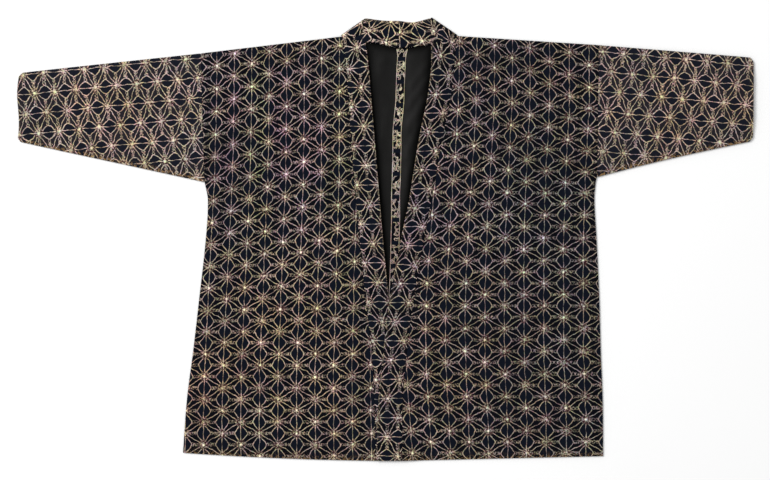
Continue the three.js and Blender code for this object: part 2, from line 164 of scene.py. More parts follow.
# Seams of the body at a height y: armhole and side seam, band seam and free edge of the band on
# each half, and the centre-back seam
BODY_COLUMNS = ("y", "side_right", "seam_right", "free_right", "back", "free_left", "seam_left", "side_left")
BODY_ROWS = (
    (-401.4, -367.5, -18, 24, 6.5, -16.5, 30, 394),
    (-291, -359.5, -20, 21.5, 9, -12.5, 31.5, 393),
    (-201, -348, -25.5, 16.5, 10.5, -3.5, 39, 389.5),
    (-110, -337.5, -36, 6.5, 13.5, 7.5, 50.5, 387),
    (-2, -325.5, -47, -4.5, 17.5, 27.5, 69.5, 382),
    (71, -321.5, -53.5, -10.5, 18.5, 42.5, 83, 378),
    (103, -327.3, -57, -13.3, 19.2, 47.8, 89.3, 380.5),
    (112, -327.4, -57.6, -14, 19.4, 49.2, 90.8, 382.6),
    (143, -328, -60, -16.5, 20, 54, 96, 384.5),
    (197, -329, -63.5, -21, 21.5, 63.5, 106, 386),
    (252, -331.5, -67, -25.5, 26, 75, 117, 386),
    (306, -333, -71.5, -30, 28, 82, 124, 386),
    (360, -334, -78, -36.5, 30, 82.5, 128, 385.5),
    (400, -334, -83, -44, 24, 82, 133, 385.5),
)

# Neckband behind the neck at a place x: its seam to the back and its free edge
NECK_COLUMNS = ("x", "seam", "free")
NECK_ROWS = (
    (-81, 367, 402),
    (-57, 360.5, 401),
    (-35, 356.5, 399.5),
    (-3, 351.5, 395.5),
    (24, 346.5, 395),
    (50, 348, 392.5),
    (82, 352.5, 399.7),
    (106, 359.5, 402),
    (131, 368, 404),
)

# Largest creases, as in the part: a soft line from (x, y) to (to_x, to_y). A rise below zero is a
# trough and above zero a ridge, as a share of the swell.
CREASE_COLUMNS = ("x", "y", "to_x", "to_y", "width", "rise")
CREASE_ROWS = (
    (-356, 268, -272, 333, 16, -0.8),
    (-318, 116, -245, 197, 15, -0.8),
    (-296, 160, -230, 232, 18, 0.6),
    (-300, 318, -303, 215, 12, -0.6),
    (-292, -36, -262, 62, 16, -0.8),
    (-262, -70, -225, 40, 22, 0.5),
    (-184, 66, -163, 146, 15, -0.6),
    (-120, 30, -98, 66, 16, -0.5),
    (-322, -330, -290, -362, 26, -0.6),
    (-190, -250, -120, -150, 34, 0.4),
    (128, 306, 330, 315, 18, -0.7),
    (99, 206, 226, 212, 15, -0.6),
    (110, 168, 240, 170, 16, 0.5),
    (99, 126, 262, 124, 15, -0.6),
    (252, 38, 352, 116, 15, -0.9),
    (252, 38, 326, -4, 14, -0.8),
    (275, -60, 310, -92, 28, 0.8),
    (48, -150, 243, -192, 20, -0.6),
    (300, -222, 332, -236, 24, -0.6),
    (214, -338, 256, -352, 24, -0.5),
    (-470, 190, -380, 246, 18, -0.6),
    (-600, 196, -560, 268, 20, -0.5),
    (-520, 232, -470, 292, 20, 0.5),
    (420, 176, 500, 240, 18, -0.6),
    (560, 212, 600, 282, 20, -0.5),
    (470, 246, 540, 296, 22, 0.5),
)

# Wrinkles of the lining in the opening, in the same columns, with the rise in millimetres
LINING_WRINKLE_ROWS = (
    (38, 268, 72, 314, 6, 2.4),
    (34, 236, 74, 288, 6, 3.4),
    (34, 196, 70, 250, 7, 4.0),
    (34, 150, 60, 206, 6, 3.4),
    (32, 96, 50, 150, 6, 2.8),
    (30, 40, 40, 92, 5, 2.2),
    (-10, 322, -26, 268, 10, 2.4),
    (2, 232, -14, 160, 8, 1.8),
    (6, 130, -4, 66, 7, 1.4),
    (8, 50, 2, -10, 6, 1.0),
)


def rows_of(names, rows):
    """A table as one dictionary of named values for each row."""
    return [dict(zip(names, row)) for row in rows]


def blend(a, b, t):
    return a + (b - a) * t


def smooth(t):
    held = np.clip(t, 0, 1)
    return held * held * (3 - 2 * held)


def through(names, rows, key, column):
    """A smooth line through a column of a table, read at any places between its rows."""
    table = np.asarray(rows, float)
    places = table[:, names.index(key)]
    values = table[:, names.index(column)]
    last = len(places) - 1
    before = np.maximum(np.arange(last + 1) - 1, 0)
    after = np.minimum(np.arange(last + 1) + 1, last)
    slopes = (values[after] - values[before]) / (places[after] - places[before])

    def at(place):
        low = np.clip(np.searchsorted(places, place, side="right") - 1, 0, last - 1)
        span = places[low + 1] - places[low]
        t = np.clip((place - places[low]) / span, 0, 1)
        leaving = slopes[low] * span * (t**3 - 2 * t**2 + t)
        arriving = slopes[low + 1] * span * (t**3 - t**2)
        share = 3 * t**2 - 2 * t**3
        return values[low] * (1 - share) + values[low + 1] * share + leaving + arriving

    return at


BODY = {name: through(BODY_COLUMNS, BODY_ROWS, "y", name) for name in BODY_COLUMNS[1:]}
NECK = {name: through(NECK_COLUMNS, NECK_ROWS, "x", name) for name in NECK_COLUMNS[1:]}
CREASES = rows_of(CREASE_COLUMNS, CREASE_ROWS)
LINING_WRINKLES = rows_of(CREASE_COLUMNS, LINING_WRINKLE_ROWS)
MIDDLE_X = float(BODY["back"](NECK["seam"](BAND_JOIN)))


def line_y(start, end, x):
    return blend(start[1], end[1], (x - start[0]) / (end[0] - start[0]))


def line_x(start, end, y):
    return blend(start[0], end[0], (y - start[1]) / (end[1] - start[1]))


def bow(t, height):
    return 4 * t * (1 - t) * height


class Half:
    """One half of the jacket: its corners, the bows of its edges and the lines that its pieces share."""

    def __init__(self, name, outward, shape, band_low, band_falls):
        self.name = name
        self.outward = outward
        for part, value in shape.items():
            setattr(self, part, value)
        self.band_low = band_low
        self.band_falls = band_falls

    def seam(self, y):
        return BODY["seam_" + self.name](y)

    def free(self, y):
        return BODY["free_" + self.name](y)

    def side(self, y):
        above = line_x(self.underarm, self.shoulder, y)
        return np.where(y > self.underarm[1], above, BODY["side_" + self.name](y))

    def inside(self, x, y):
        """How far inside the outline of the laid jacket a place is, on this half."""
        reach = (x - self.shoulder[0]) * self.outward
        over_sleeve = line_y(self.shoulder, self.cuff_top, x)
        top = np.where(reach > 0, over_sleeve, line_y(self.shoulder, self.neck, x))
        arm_x, arm_y = self.underarm
        on_sleeve = (reach > 0) & (y > arm_y)
        below = np.where(on_sleeve, y - line_y(self.underarm, self.cuff_bottom, x), FAR)
        beside = (self.side(y) - x) * self.outward
        round_arm = np.hypot(x - arm_x, y - arm_y)
        beside = np.where(y < arm_y, beside, round_arm)
        hem = y - line_y(self.hem_side, self.hem_seam, x)
        return np.maximum(0, np.minimum.reduce([top - y, below, beside, hem]))

    def band_under(self, y):
        """Underside of the band on the front, which climbs over what it crosses lower down."""
        low, high = self.band_falls
        sunk = HEM_SINK * smooth(1 - (y - self.hem_seam[1]) / HEM_SINK_REACH)
        return blend(self.band_low, FRONT_UNDER, smooth((y - low) / (high - low))) - sunk

    def armhole(self, x, y):
        """Distance from the armhole seam."""
        beyond = np.maximum(0, self.underarm[1] - y)
        return np.hypot(x - line_x(self.underarm, self.shoulder, y), beyond)


RIGHT = Half(
    "right",
    -1,
    {
        "neck": (-79.5, 366.5),
        "shoulder": (-334, 336),
        "underarm": (-327.3, 103),
        "hem_side": (-367.5, -387),
        "hem_seam": (-18, -401.4),
        "cuff_top": (-662.4, 301),
        "cuff_bottom": (-666.4, 176),
        "turn_back": (-34, 399.5),
        "turn_front": (-43, 391),
        "hem_bow": -2.5,
        "underside_bow": 0.5,
        "cuff_wave": 2.5,
    },
    RIGHT_BAND_LOW,
    (-80, 0),
)
LEFT = Half(
    "left",
    1,
    {
        "neck": (128.5, 367.5),
        "shoulder": (385.5, 351),
        "underarm": (382.6, 112),
        "hem_side": (394, -393),
        "hem_seam": (30, -401.4),
        "cuff_top": (666, 328.5),
        "cuff_bottom": (665, 176.5),
        "turn_back": (82, 399.7),
        "turn_front": (82, 398.5),
        "hem_bow": 0,
        "underside_bow": 3,
        "cuff_wave": 0,
    },
    LEFT_BAND_LOW,
    (-95, 40),
)


def distance_to(crease, x, y):
    """Distance from places to a crease, which is a straight stretch."""
    run_x = crease["to_x"] - crease["x"]
    run_y = crease["to_y"] - crease["y"]
    along = ((x - crease["x"]) * run_x + (y - crease["y"]) * run_y) / (run_x**2 + run_y**2)
    t = np.clip(along, 0, 1)
    return np.hypot(x - crease["x"] - run_x * t, y - crease["y"] - run_y * t)


def creased(creases, x, y):
    """Sum of the rises of some creases."""
    total = np.zeros(np.shape(x))
    for crease in creases:
        total += crease["rise"] * np.exp(-((distance_to(crease, x, y) / crease["width"]) ** 2))
    return total


def uneven(x, y, size, seed):
    """Soft random values from -1 to 1 whose spots are about size wide."""
    u = np.asarray(x, float) / size
    v = np.asarray(y, float) / size
    low_u = np.floor(u)
    low_v = np.floor(v)

    def spot(i, j):
        wave = np.sin(i * SCATTER[0] + j * SCATTER[1] + seed * SCATTER[2]) * SCATTER[3]
        return 2 * (wave - np.floor(wave)) - 1

    s = smooth(u - low_u)
    t = smooth(v - low_v)
    below = blend(spot(low_u, low_v), spot(low_u + 1, low_v), s)
    above = blend(spot(low_u, low_v + 1), spot(low_u + 1, low_v + 1), s)
    return blend(below, above, t)


def ruffled(spots, x, y):
    """Sum of some unevenness, given as rows of strength, size and seed."""
    return sum(strength * uneven(x, y, size, seed) for strength, size, seed in spots)


def puckers(distance, along, seed):
    """Small gathers that a seam draws into the cloth beside it."""
    wander = PUCKER_WANDER * uneven(along, 0, PUCKER_WANDER_SIZE, seed)
    strength = PUCKER_EVEN + (1 - PUCKER_EVEN) * uneven(along, distance, PUCKER_SPOT, seed + 1)
    waves = np.sin(2 * math.pi * along / PUCKER_PITCH + wander) * strength
    return PUCKER_HEIGHT * waves * np.exp(-np.abs(distance) / PUCKER_REACH)


def relief(half, x, y):
    """How far the upper cloth stands above its lowest lie."""
    depth = half.inside(x, y)
    share = np.clip(1 + creased(CREASES, x, y), SWELL_LEAST, SWELL_MOST)
    swell = SWELL * share * smooth(depth / SWELL_MARGIN)
    gathers = puckers(half.armhole(x, y), y, ARMHOLE_SEED)
    return swell + (ruffled(RIPPLES, x, y) + gathers) * smooth(depth / RIPPLE_MARGIN)


def graded(length, cell, fine_start=True, fine_end=True):
    """Shares of a length, spaced by about one cell and closer together near its ends."""
    start = [step for step in EDGE_STEPS if fine_start or step == 0]
    end = [length - step for step in reversed(EDGE_STEPS) if fine_end or step == 0]
    count = max(2, round((end[0] - start[-1]) / cell))
    middle = np.linspace(start[-1], end[0], count + 1)[1:-1]
    return np.concatenate([start, middle, end]) / length


def fullness(distance, roundness=EDGE_ROUND):
    """Share of the cloth's thickness at a distance from its edge, which is round."""
    near = 1 - np.clip(distance / roundness, 0, 1)
    return np.maximum(EDGE_LEAST, np.sqrt(np.maximum(0, 1 - near**2)))


def from_edges(along, length, across, width):
    """Distance to the nearest edge of a piece, from shares of its length and its width."""
    return np.minimum(np.minimum(along, 1 - along) * length, np.minimum(across, 1 - across) * width)


def points(*coordinates):
    """Coordinates side by side: three for places, two for places on the lattice."""
    return np.stack(np.broadcast_arrays(*coordinates), -1).astype(float)


def quads(grid):
    """The four corners of each cell of a grid of numbers."""
    return np.stack([grid[:-1, :-1], grid[:-1, 1:], grid[1:, 1:], grid[1:, :-1]], -1).reshape(-1, 4)


# Tints of the yarn, space-dyed in most rows and painted light and shade in the rows marked below: a soft
# patch round (x, y) that reaches so far across and along.
# The mesh keeps a share of the tint, so that tints above 1 fit.
TINT_KEPT = 0.5
DYE_WARMED = (1, -0.4, -1)
TINT_AND_PAINTED_LIGHT_COLUMNS = ("x", "y", "across", "along", "red", "green", "blue")
TINT_AND_PAINTED_LIGHT_ROWS = (
    (-281, 200, 18, 150, 1.02, 0.88, 1.14),
    (-191, 190, 22, 140, 1.04, 0.88, 1.18),
    (-135, 170, 26, 170, 1.14, 0.98, 1.24),
    (-227, 210, 18, 170, 1.04, 1.16, 0.94),
    (-78, 120, 14, 240, 1.10, 1.16, 0.95),
    (-320, 260, 24, 80, 0.90, 0.92, 1.04),
    (-300, 110, 34, 70, 0.80, 0.82, 0.92),
    (-170, -190, 170, 190, 1.22, 1.12, 1.02),
    (-340, -300, 40, 120, 1.04, 0.92, 0.90),
    (150, 250, 60, 120, 0.87, 0.85, 0.95),
    (60, 30, 60, 90, 1.00, 0.92, 1.10),
    (290, 110, 70, 100, 0.76, 0.84, 0.84),
    (250, 325, 130, 34, 0.70, 0.70, 0.73),
    (340, -120, 60, 220, 0.96, 1.01, 1.00),
    (230, 10, 120, 60, 1.10, 1.10, 1.16),
    (0, -220, 50, 220, 0.84, 0.86, 0.93),
    (120, -250, 70, 140, 1.06, 1.00, 0.94),
    # Painted shade: the wearer's left front darker all over, as on the side away from the window
    (300, -60, 300, 420, 0.76, 0.77, 0.82),
    (20, 380, 90, 26, 1.34, 1.28, 1.12),
    # Painted light: the wearer's right sleeve lighter than the left, as on the side nearer the window
    (-520, 240, 150, 80, 1.16, 1.08, 1.02),
    (520, 240, 150, 80, 1.10, 0.98, 0.88),
)
TINTS_AND_PAINTED_LIGHT = rows_of(TINT_AND_PAINTED_LIGHT_COLUMNS, TINT_AND_PAINTED_LIGHT_ROWS)


def yarn_tint_and_painted_light(x, y):
    """Tint of the pattern's yarn at some places, including the painted light and shade of some rows."""
    tint = np.ones(np.shape(x) + (3,))
    for tint_and_painted_light in TINTS_AND_PAINTED_LIGHT:
        reach = ((x - tint_and_painted_light["x"]) / tint_and_painted_light["across"]) ** 2 + ((y - tint_and_painted_light["y"]) / tint_and_painted_light["along"]) ** 2
        share = np.exp(-reach)[..., None]
        tint *= 1 + share * (np.array([tint_and_painted_light["red"], tint_and_painted_light["green"], tint_and_painted_light["blue"]]) - 1)
    bright = ruffled(DYE_SHADES, x, y)
    warm = ruffled(DYE_WARMTH, x, y)
    return tint * (1 + points(*(bright + share * warm for share in DYE_WARMED)))


class Shell:
    """Collects the walls of one piece of cloth and turns them into a mesh."""

    def __init__(self):
        self.places = []
        self.wear = []
        self.faces = []
        self.lattice = []
        self.finishes = []
        self.count = 0

    def grid(self, places, wear):
        """Adds a grid of points and returns their numbers. Its wear becomes the alpha of the colour
        attribute, which on the lining is painted shade and highlights.
        """
        rows, columns = places.shape[:2]
        self.places.append(places.reshape(-1, 3))
        self.wear.append(np.broadcast_to(wear, (rows, columns)).reshape(-1))
        numbers = np.arange(rows * columns).reshape(rows, columns) + self.count
        self.count += rows * columns
        return numbers

    def face(self, corners, lattice, finish, turned=False):
        """Adds the cells of a grid of point numbers, with the lattice's own coordinates."""
        rows, columns = corners.shape
        spots = quads(np.arange(rows * columns).reshape(rows, columns))
        cells = quads(corners)
        if turned:
            cells = cells[:, ::-1]
            spots = spots[:, ::-1]
        self.faces.append(cells)
        self.lattice.append(lattice.reshape(-1, 2)[spots].reshape(-1, 2))
        self.finishes.append(np.full(len(cells), finish) if np.isscalar(finish) else finish)

    def piece(self, node, materials, slot):
        """Makes the cloth that takes the place of a solid."""
        name = node + "_cloth"
        places = np.concatenate(self.places)
        faces = np.concatenate(self.faces)
        mesh = bpy.data.meshes.new(name)
        mesh.from_pydata((places * MM).tolist(), [], faces.tolist())
        for material in materials:
            mesh.materials.append(material)
        mesh.polygons.foreach_set("material_index", np.concatenate(self.finishes).astype(np.int32))
        lattice = mesh.uv_layers.new(name="lattice")
        lattice.data.foreach_set("uv", np.concatenate(self.lattice).ravel())
        # The attribute holds the yarn's tints, with painted light and shade in some places, and in its alpha
        # the wear, which on the lining is painted shade and highlights instead
        tint_and_painted_light = mesh.color_attributes.new("tint_and_painted_light", "FLOAT_COLOR", "POINT")
        colours = np.ones((len(places), 4))
        colours[:, :3] = yarn_tint_and_painted_light(places[:, 0], places[:, 1]) * TINT_KEPT
        colours[:, 3] = np.concatenate(self.wear)
        tint_and_painted_light.data.foreach_set("color", colours.ravel())
        mesh.shade_smooth()
        made = bpy.data.objects.new(name, mesh)
        bpy.context.scene.collection.objects.link(made)
        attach(made, "root")
        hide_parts(node)
        return made


def worn(rubbed):
    """Wear at a distance from the edges that are rubbed."""
    return np.exp(-np.maximum(rubbed, 0) / WEAR_REACH)


def border(shell, over, under, lattice, finish):
    """Closes the edge between matching lines of points over and under."""
    shell.face(np.stack([over, under]), np.stack([lattice, lattice]), finish)


def wall(over, under, lattice, wear, under_finish):
    """A flat piece of cloth with an upper and a lower wall, closed all round."""
    shell = Shell()
    top = shell.grid(over, wear)
    low = shell.grid(under, wear)
    shell.face(top, lattice, 0)
    shell.face(low, lattice, under_finish, turned=True)
    border(shell, top[0], low[0], lattice[0], 0)
    border(shell, low[-1], top[-1], lattice[-1], 0)
    border(shell, low[:, 0], top[:, 0], lattice[:, 0], 0)
    border(shell, top[:, -1], low[:, -1], lattice[:, -1], 0)
    return shell


def spread(x, y, middle, thick, lattice, wear, under_finish=0):
    """A flat piece of cloth, from the height of its middle and half its thickness."""
    return wall(points(x, y, middle + thick), points(x, y, middle - thick), lattice, wear, under_finish)


# Where the hemp-leaf lattice runs on each piece. Its columns are counted across the cloth and its
# stars along it, so that whole numbers are columns and stars.
RIGHT_COLUMN = ((-400, -95), (-239, -96), (20, -88.8), (105, -86), (340, -85))
RIGHT_SPACING = ((-340, 33.7), (-239, 33.3), (252, 31.7))
RIGHT_STAR = (180.4, 41.1)
RIGHT_SLOPE = {"from_x": -112, "over_x": -163, "from_y": -210, "over_y": 362, "drop": 12}
LEFT_COLUMN_Y = (-400, -337, -273, -210, -147, -83, -20, 43, 107, 170, 233, 340)
LEFT_COLUMN_X = (86, 82.5, 78, 75.4, 74.8, 77.2, 81.5, 86.2, 92, 97, 100.5, 104)
LEFT_COLUMN = tuple(zip(LEFT_COLUMN_Y, LEFT_COLUMN_X))
LEFT_UPRIGHT = ((-337, 257.5), (-210, 253), (-20, 252), (43, 254), (107, 256), (170, 259), (233, 263))
LEFT_UPRIGHT_COUNT = 5
LEFT_SPACING = 35.75
LEFT_STAR = (-164.4, 41)
LEFT_SLOPE = {"from_x": 205, "over_x": 100, "from_y": 60, "over_y": 240, "drop": 10}
BACK_LATTICE = (33.5, 41.5)
BAND_ROWS = {"right": (333.8, 35.4, 27, 40), "left": (225.2, 34.8, 10, 40)}
SLEEVE_STAR = {"right": (-557.5, 267.7, 5.5, 37.1), "left": (577, 246.4, -5.6, 38)}
SLEEVE_ROWS = 36
STRIP_STAR = 305
STRIP_PITCH = 41.6
STRIP_COLUMN = 35.75


def along_line(line, y):
    places, values = zip(*line)
    return np.interp(y, places, values)


def dropped(slope, x, y):
    """How far the rows of stars sink towards the sleeve below the slanting shoulder."""
    outward = (x - slope["from_x"]) / slope["over_x"]
    upward = np.clip((y - slope["from_y"]) / slope["over_y"], 0, 1)
    return slope["drop"] * outward * upward


def front_lattice(half, x, y):
    if half is RIGHT:
        columns = (along_line(RIGHT_COLUMN, y) - x) / along_line(RIGHT_SPACING, y)
        star, pitch = RIGHT_STAR
        return points(columns, (star - dropped(RIGHT_SLOPE, x, y) - y) / pitch)
    first = along_line(LEFT_COLUMN, y)
    upright = along_line(LEFT_UPRIGHT, y)
    count = LEFT_UPRIGHT_COUNT
    leaning = (x - first) * count / (upright - first)
    columns = np.where(x < upright, leaning, count + (x - upright) / LEFT_SPACING)
    star, pitch = LEFT_STAR
    return points(columns, (star - dropped(LEFT_SLOPE, x, y) - y) / pitch)


def back_lattice(x, y):
    columns, pitch = BACK_LATTICE
    return points(x / columns, y / pitch)


def front_panel(half):
    """Front, from the hem to the shoulder and from the side to the band seam."""
    length = half.shoulder[1] - half.hem_side[1]
    width = abs(half.hem_side[0] - half.hem_seam[0])
    row = graded(length, FRONT_CELL)[:, None]
    column = graded(width, FRONT_CELL)[None, :]
    side_y = blend(half.hem_side[1], half.shoulder[1], row)
    seam_y = blend(half.hem_seam[1], half.neck[1], row)
    seam_x = half.seam(seam_y) + half.outward * SEAM / 2
    side_x = half.side(side_y)
    x = blend(side_x, seam_x, column)
    y = blend(side_y, seam_y, column) + (1 - row) * bow(column, half.hem_bow)
    beside = x - half.seam(y)
    lie = blend(EDGE_UNDER, FRONT_UNDER, smooth(half.inside(x, y) / EDGE_DROP))
    risen = smooth(np.abs(beside) / BAND_MARGIN)
    height = blend(half.band_under(y), lie + relief(half, x, y), risen)
    height = height + puckers(beside, y, BAND_SEED) * smooth(np.abs(beside) / PUCKER_MARGIN)
    edge = from_edges(row, length, column, np.abs(side_x - seam_x))
    middle = height + CLOTH - SHELL / 2
    thick = fullness(edge) * SHELL / 2
    shell = spread(x, y, middle, thick, front_lattice(half, x, y), worn(row * length), 1)
    return shell.piece("front_" + half.name + "_panel", [BODY_COTTON, LINING_COTTON], "body_cotton")


def back_places(half, insets, row, column):
    """Places of a back piece, moved in from the side and shoulder, the hem and the neck."""
    inset, hem_inset, neck_inset = insets
    side_y = blend(half.hem_side[1] + hem_inset, half.shoulder[1] - inset, row)
    side_x = half.side(side_y) - half.outward * inset
    top_y = NECK["seam"](MIDDLE_X) - neck_inset
    middle_y = blend(half.hem_seam[1] + hem_inset, top_y, row)
    middle_x = BODY["back"](middle_y) + half.outward * SEAM / 2
    x = blend(side_x, middle_x, column)
    y = blend(side_y, middle_y, column)
    shoulder_y = line_y(half.shoulder, half.neck, x) - inset
    beyond = (x - half.neck[0]) * half.outward > 0
    neck_y = np.minimum(shoulder_y, NECK["seam"](x) - neck_inset)
    rim = np.where(beyond, shoulder_y, neck_y)
    run = (x - side_x) / (MIDDLE_X - side_x)
    straight = blend(half.shoulder[1] - inset, top_y, run)
    return x, y + row * (rim - straight) + (1 - row) * bow(column, half.hem_bow)


def back_columns(half, cell):
    """Columns of a back piece as shares of its width, with one at the corner of the neck."""
    width = abs(half.shoulder[0] - MIDDLE_X)
    corner = abs(half.shoulder[0] - half.neck[0])
    shoulder = graded(corner, cell, True, False) * corner / width
    neck = blend(corner / width, 1, graded(width - corner, cell, False, True))
    return np.concatenate([shoulder, neck[1:]])


def back_panel(half):
    """Back, whose outer face lies on the floor and whose inner face carries the lining."""
    length = half.shoulder[1] - half.hem_side[1]
    row = graded(length, BACK_CELL)[:, None]
    column = back_columns(half, BACK_CELL)[None, :]
    x, y = back_places(half, (0, 0, SEAM), row, column)
    width = abs(half.shoulder[0] - MIDDLE_X)
    thick = fullness(from_edges(row, length, column, width)) * CLOTH / 2
    shell = spread(x, y, CLOTH / 2, thick, back_lattice(x, y), worn(row * length))
    return shell.piece("back_" + half.name + "_panel", [BODY_COTTON], "body_cotton")


def in_opening(x, y):
    """How far a place is inside the opening and clear of the strip down its middle."""
    open_here = np.minimum(x - RIGHT.free(y), LEFT.free(y) - x)
    clear = np.abs(x - BODY["back"](y)) - STRIP_WIDTH / 2
    return np.minimum(open_here, clear)


def painted_lining_shading(x, y, rise):
    """Share of the lighter black painted on the lining: none at the bands, where painted shade falls, more
    as painted highlights on its wrinkle crests, and most in a painted sheen beside the strip.
    """
    shown = np.minimum(x - RIGHT.free(y), LEFT.free(y) - x)
    shown = np.minimum(shown, NECK["seam"](x) - y)
    beside = np.exp(-(((x - BODY["back"](y) - PAINTED_SHEEN_SHIFT) / PAINTED_SHEEN_WIDTH) ** 2))
    strength = LINING_OPEN_TONE + PAINTED_CREST_HIGHLIGHT * smooth(rise / PAINTED_HIGHLIGHT_RISE)
    return smooth(shown / PAINTED_SHADE_REACH) * strength * (1 + PAINTED_SHEEN_STRENGTH * beside)


def lining():
    """Lining of the back, in one piece from armhole to armhole."""
    insets = (LINING_INSET, LINING_HEM, LINING_NECK)
    length = RIGHT.shoulder[1] - RIGHT.hem_side[1]
    row = graded(length, LINING_CELL)[:, None]
    halves = []
    for half in (RIGHT, LEFT):
        column = back_columns(half, LINING_ACROSS_CELL)[:-len(EDGE_STEPS) + 1]
        halves.append(back_places(half, insets, row, column[None, :]))
    x = np.concatenate([halves[0][0], halves[1][0][:, ::-1]], 1)
    y = np.concatenate([halves[0][1], halves[1][1][:, ::-1]], 1)
    share = np.linspace(0, 1, x.shape[1])[None, :]
    width = LEFT.shoulder[0] - RIGHT.shoulder[0]
    wrinkles = creased(LINING_WRINKLES, x, y) + ruffled(LINING_RUFFLE, x, y)
    rise = np.maximum(0, wrinkles) * smooth(in_opening(x, y) / PUFF_MARGIN)
    thick = fullness(from_edges(row, length, share, width)) * LINING / 2
    middle = LINING_UNDER + LINING / 2 + rise
    # The lining's wear values are its painted shade and highlights
    shell = spread(x, y, middle, thick, back_lattice(x, y), painted_lining_shading(x, y, rise))
    return shell.piece("back_lining", [LINING_COTTON], "black_lining")


def strip():
    """Strip over the centre-back seam of the lining, from the neck to the hem."""
    top = float(NECK["seam"](MIDDLE_X)) - STRIP_NECK
    bottom = RIGHT.hem_seam[1] + STRIP_HEM
    length = top - bottom
    row = graded(length, STRIP_CELL)[:, None]
    y = blend(bottom, top, row)
    flare = smooth((y - STRIP_FLARE) / (top - STRIP_FLARE))
    reach = blend(STRIP_WIDTH, STRIP_TOP_WIDTH, flare) / 2
    share = graded(STRIP_WIDTH, STRIP_ACROSS_CELL)[None, :]
    across = 2 * share - 1
    x = BODY["back"](y) + across * reach + ruffled(STRIP_SWAY, y, 0)
    thick = fullness(from_edges(row, length, share, 2 * reach)) * STRIP / 2
    puff = STRIP_PUFF_HEIGHT * np.abs(1 - across**2) * (1 + ruffled(STRIP_PUFF, x, y))
    opened = smooth(in_opening(RIGHT.free(y) + STRIP_PROBE, y) / PUFF_MARGIN)
    middle = STRIP_UNDER + STRIP / 2 + puff * opened
    lattice = points(across * STRIP_WIDTH / 2 / STRIP_COLUMN, (STRIP_STAR - y) / STRIP_PITCH)
    shell = spread(x, y, middle, thick, lattice, UNWORN)
    return shell.piece("centre_back_strip", [STRIP_COTTON], "strip_cotton")


def band_behind(half):
    """Lines across the band behind the neck: seam, free edge, height and the way its face looks."""
    start = BAND_JOIN + half.outward * SEAM / 2
    end = half.neck[0] - half.outward * SEAM
    share = graded(abs(end - start), BAND_CELL, True, False)
    seam_x = blend(start, end, share)
    free_x = blend(start, half.turn_back[0], share)
    bulk = NECK_BULK * smooth((1 - share) / NECK_BULK_SHARE)
    seam = points(seam_x, NECK["seam"](seam_x), BAND / 2 + bulk)
    free = points(free_x, NECK["free"](free_x), BAND / 2)
    return seam, free, points(0 * share, 0, -1)


def band_turn(half):
    """Lines across the band where it rolls over at the shoulder."""
    seam = np.array([half.neck[0] - half.outward * SEAM, half.neck[1]])
    back = np.array(half.turn_back)
    front = np.array(half.turn_front)
    roll = float(half.band_under(half.neck[1])) / 2
    fold = back - seam
    out = half.outward * np.array([fold[1], -fold[0]]) / np.hypot(*fold)
    share = np.linspace(0, 1, TURN_STEPS + 1)[1:-1]
    angle = math.pi * share
    lean = (roll * np.sin(angle))[:, None] * out
    height = BAND / 2 + roll * (1 - np.cos(angle))
    moved = seam + lean
    free = back + (front - back) * smooth(share)[:, None] + lean
    facing = points(out[0] * np.sin(angle), out[1] * np.sin(angle), -np.cos(angle))
    return points(*moved.T, height), points(*free.T, height), facing


def band_before(half):
    """Lines across the band on the front, from the shoulder to the hem."""
    neck_y = half.neck[1]
    length = neck_y - half.hem_seam[1]
    share = graded(length, BAND_CELL, False, True)
    seam_y = blend(neck_y, half.hem_seam[1], share)
    settled = smooth((neck_y - seam_y) / BAND_SETTLE)
    free_y = seam_y + (half.turn_front[1] - neck_y) * (1 - settled)
    free_x = half.free(free_y)
    free_x[0] = half.turn_front[0]
    height = half.band_under(seam_y) + BAND / 2 + ruffled(BAND_WAVES, seam_y, 0)
    gap = LEFT.free(free_y) - RIGHT.free(free_y)
    lift = BAND_LIFT * smooth(gap / BAND_LIFT_GAP) * settled * (1 + ruffled(BAND_LIFTS, seam_y, 0))
    seam = points(half.seam(seam_y) - half.outward * SEAM / 2, seam_y, height)
    return seam, points(free_x, free_y, height + lift), points(0 * share, 0, 1)


def neckband(half):
    """Half of the neckband, folded double: its free edge is a fold, its other edge is sewn."""
    stretches = (band_behind(half), band_turn(half), band_before(half))
    seam, free, facing = (np.concatenate(lines) for lines in zip(*stretches))
    width = np.linalg.norm(free - seam, axis=1)
    across = graded(float(np.median(width)), BAND_ACROSS_CELL)
    middle = seam[:, None] + (free - seam)[:, None] * across[None, :, None]
    ends = np.concatenate([[0], np.cumsum(np.linalg.norm(np.diff((seam + free) / 2, axis=0), axis=1))])
    from_end = np.minimum(ends, ends[-1] - ends)[:, None]
    from_seam = across[None, :] * width[:, None]
    from_fold = (1 - across)[None, :] * width[:, None]
    edge = np.minimum(from_end, np.minimum(from_seam, from_fold))
    full = BAND / 2 * fullness(edge, BAND_ROUND)
    waves = ruffled(BAND_PUFF, ends[:, None], from_seam)
    puffed = (BAND_CROWN + waves) * smooth(edge / PUFF_MARGIN)
    outer = full + puffed * np.maximum(0, facing[:, 2:])
    inner = full + puffed * np.maximum(0, -facing[:, 2:])
    over = middle + facing[:, None] * outer[..., None]
    under = middle - facing[:, None] * inner[..., None]
    behind = facing[:, 2] == -1
    over[behind, :, 2] = BAND / 2 - outer[behind]
    first_y, spacing, first_in, pitch = BAND_ROWS[half.name]
    on_front = facing[:, 2] == 1
    start = np.interp(-first_y, -seam[on_front, 1], ends[on_front])
    lattice = points((ends - start)[:, None] / spacing, (from_seam - first_in) / pitch)
    shell = wall(over, under, lattice, worn(BAND_SPARED * from_fold), 0)
    return shell.piece("neckband_" + half.name, [BAND_COTTON], "band_cotton")


